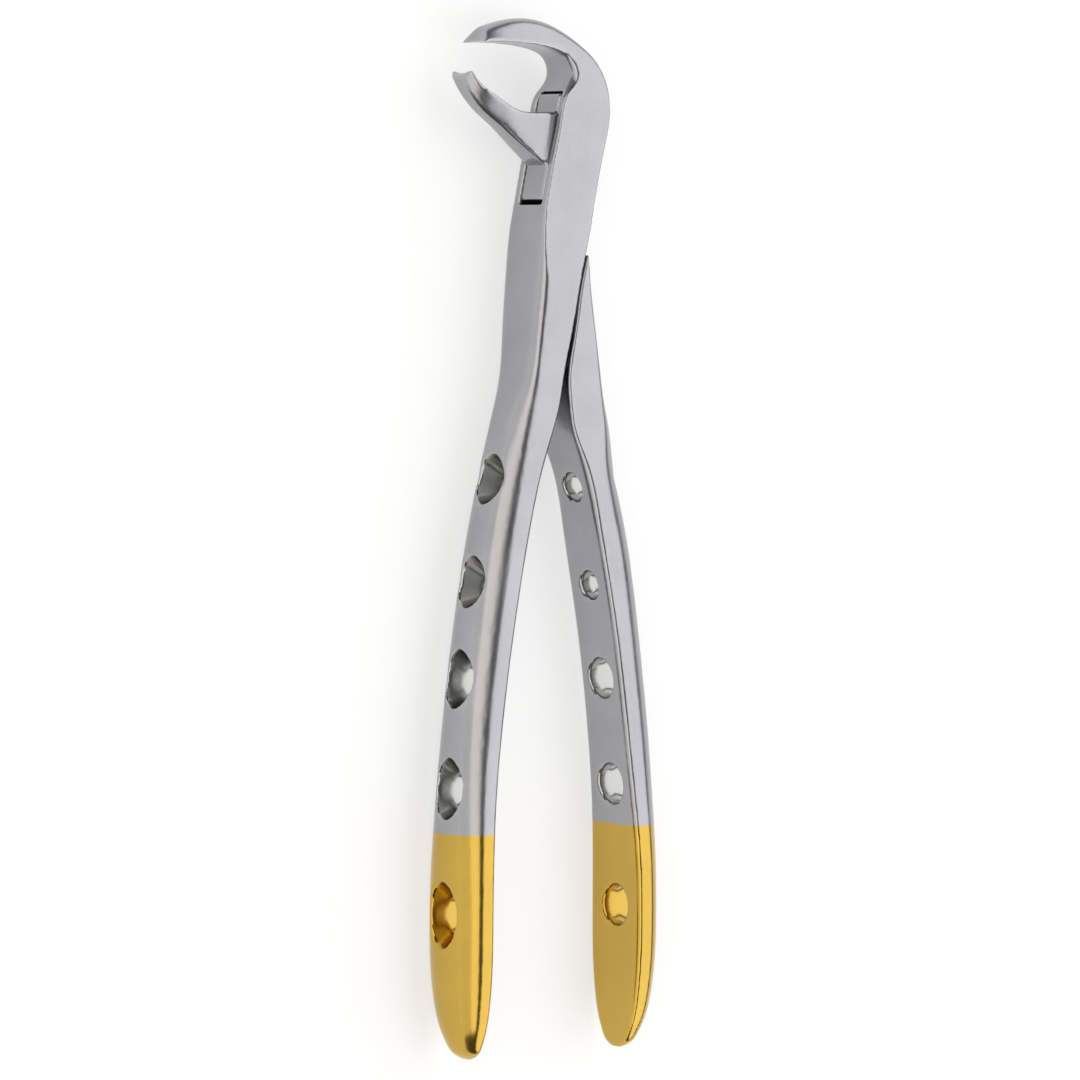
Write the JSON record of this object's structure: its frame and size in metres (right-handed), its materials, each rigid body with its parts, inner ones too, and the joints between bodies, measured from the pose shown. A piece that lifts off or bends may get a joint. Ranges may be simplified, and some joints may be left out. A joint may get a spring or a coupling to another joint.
{
  "type": "dental extraction forceps",
  "caption": "Hawk-bill lower extraction forceps with a box joint, curved handles with countersunk grip holes and gold-plated ends.",
  "frame": {"origin": "pivot axis at the flat rear face of the joint", "axes": "+Z along the pivot axis from the rear cheek to the front cheek, +Y from the handle ends towards the beaks, +X to the right seen from the front; the beaks hook towards -X"},
  "size_m": [0.0422, 0.174, 0.0146],
  "materials": {
    "upper_half_steel": "satin blasted stainless steel, gold-plated over the last quarter of the handle",
    "lower_half_steel": "satin blasted stainless steel, gold-plated over the last quarter of the handle",
    "pin_steel": "satin, ground flush with the cheeks"
  },
  "bodies": {
    "slotted_half": {"upper_beak_half": "upper_half_steel", "pivot_pin": "pin_steel"},
    "tongued_half": {"lower_beak_half": "lower_half_steel"}
  },
  "joints": [
    {"name": "pivot", "type": "hinge", "parent": "slotted_half", "child": "tongued_half", "pos_m": [0, 0, 0.0049], "axis": [0, 0, 1], "range_deg": [-1, 22]}
  ]
}
